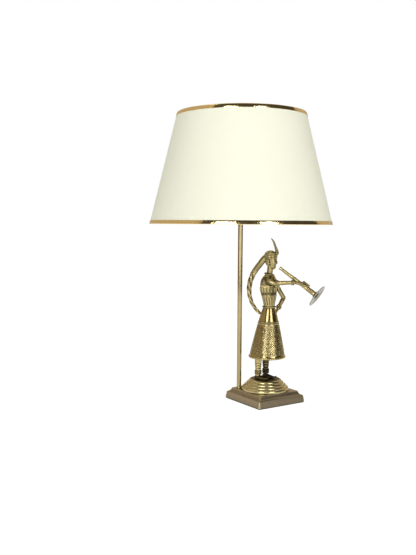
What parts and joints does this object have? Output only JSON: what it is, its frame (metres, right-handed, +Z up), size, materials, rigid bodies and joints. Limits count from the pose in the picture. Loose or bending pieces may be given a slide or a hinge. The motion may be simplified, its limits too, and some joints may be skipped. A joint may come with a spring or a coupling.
{
  "type": "table lamp",
  "caption": "Table lamp: square brass plinth, slim post with a tapered drum shade on a harp, and a standing brass musician with a long horn on a stepped pedestal beside the post.",
  "frame": {"origin": "the post's axis on the surface that the lamp stands on", "axes": "+Z up along the post, +X along the plinth's diagonal from the post to the figurine, -Y towards the viewer"},
  "size_m": [0.3556, 0.3556, 0.5588],
  "materials": {
    "felt": "matt felt",
    "plinth_brass": "antique brown, satin",
    "bushing_plastic": "satin",
    "post_brass": "satin antique",
    "plated_steel": "brass plated",
    "finial_brass": "polished",
    "holder_brass": "polished",
    "liner_fibre": "fibre",
    "switch_body": "moulded",
    "contact_metal": "bare",
    "key_plastic": "moulded",
    "bulb_base": "bare",
    "bulb_glass": "frosted white",
    "shade_fabric": "smooth ivory cloth on a stiff lining",
    "trim_foil": "gold foil, bright",
    "figure_brass": "antique, polished high spots"
  },
  "bodies": {
    "lamp": {"felt_pad": "felt", "plinth": "plinth_brass", "cord_bushing": "bushing_plastic", "post_tube": "post_brass", "post_seat_ring": "post_brass", "post_collar": "post_brass", "foot_screws": "plated_steel", "post_washer": "plated_steel", "post_nut": "plated_steel", "harp_saddle": "plated_steel", "harp": "plated_steel", "harp_stud": "plated_steel", "socket_cap": "holder_brass", "socket_shell": "holder_brass", "socket_liner": "liner_fibre", "socket_body": "switch_body", "screw_shell": "contact_metal", "centre_contact": "contact_metal", "pedestal": "figure_brass", "skirt": "figure_brass", "skirt_hem": "figure_brass", "torso": "figure_brass", "belt": "figure_brass", "collar": "figure_brass", "head": "figure_brass", "earrings": "figure_brass", "turban": "figure_brass", "plume": "figure_brass", "braid": "figure_brass", "right_arm": "figure_brass", "left_arm": "figure_brass", "bangles": "figure_brass", "horn_tube": "figure_brass", "horn_bell": "figure_brass", "right_leg": "figure_brass", "left_leg": "figure_brass", "anklets": "figure_brass", "right_shoe": "figure_brass", "left_shoe": "figure_brass"},
    "shade": {"shade_cover": "shade_fabric", "shade_top_ring": "plated_steel", "shade_bottom_ring": "plated_steel", "shade_top_trim": "trim_foil", "shade_bottom_trim": "trim_foil", "spider": "plated_steel"},
    "finial": {"finial": "finial_brass"},
    "bulb": {"bulb_base": "bulb_base", "bulb_glass": "bulb_glass"},
    "switch": {"switch_key": "key_plastic"},
    "sleeve_left": {"harp_sleeve_left": "plated_steel"},
    "sleeve_right": {"harp_sleeve_right": "plated_steel"}
  },
  "joints": [
    {"name": "shade_turn", "type": "hinge", "parent": "lamp", "child": "shade", "pos_m": [0, 0, 0.5348], "axis": [0, 0, 1], "continuous": true},
    {"name": "finial_turn", "type": "hinge", "parent": "lamp", "child": "finial", "pos_m": [0, 0, 0.5368], "axis": [0, 0, 1], "continuous": true},
    {"name": "bulb_turn", "type": "hinge", "parent": "lamp", "child": "bulb", "pos_m": [0, 0, 0.3943], "axis": [0, 0, 1], "continuous": true},
    {"name": "switch_turn", "type": "hinge", "parent": "lamp", "child": "switch", "pos_m": [0, -0.02, 0.3848], "axis": [0, -1, 0], "continuous": true},
    {"name": "sleeve_left_lift", "type": "slide", "parent": "lamp", "child": "sleeve_left", "axis": [0, 0, 1], "range_m": [0, 0.012]},
    {"name": "sleeve_right_lift", "type": "slide", "parent": "lamp", "child": "sleeve_right", "axis": [0, 0, 1], "range_m": [0, 0.012]}
  ]
}
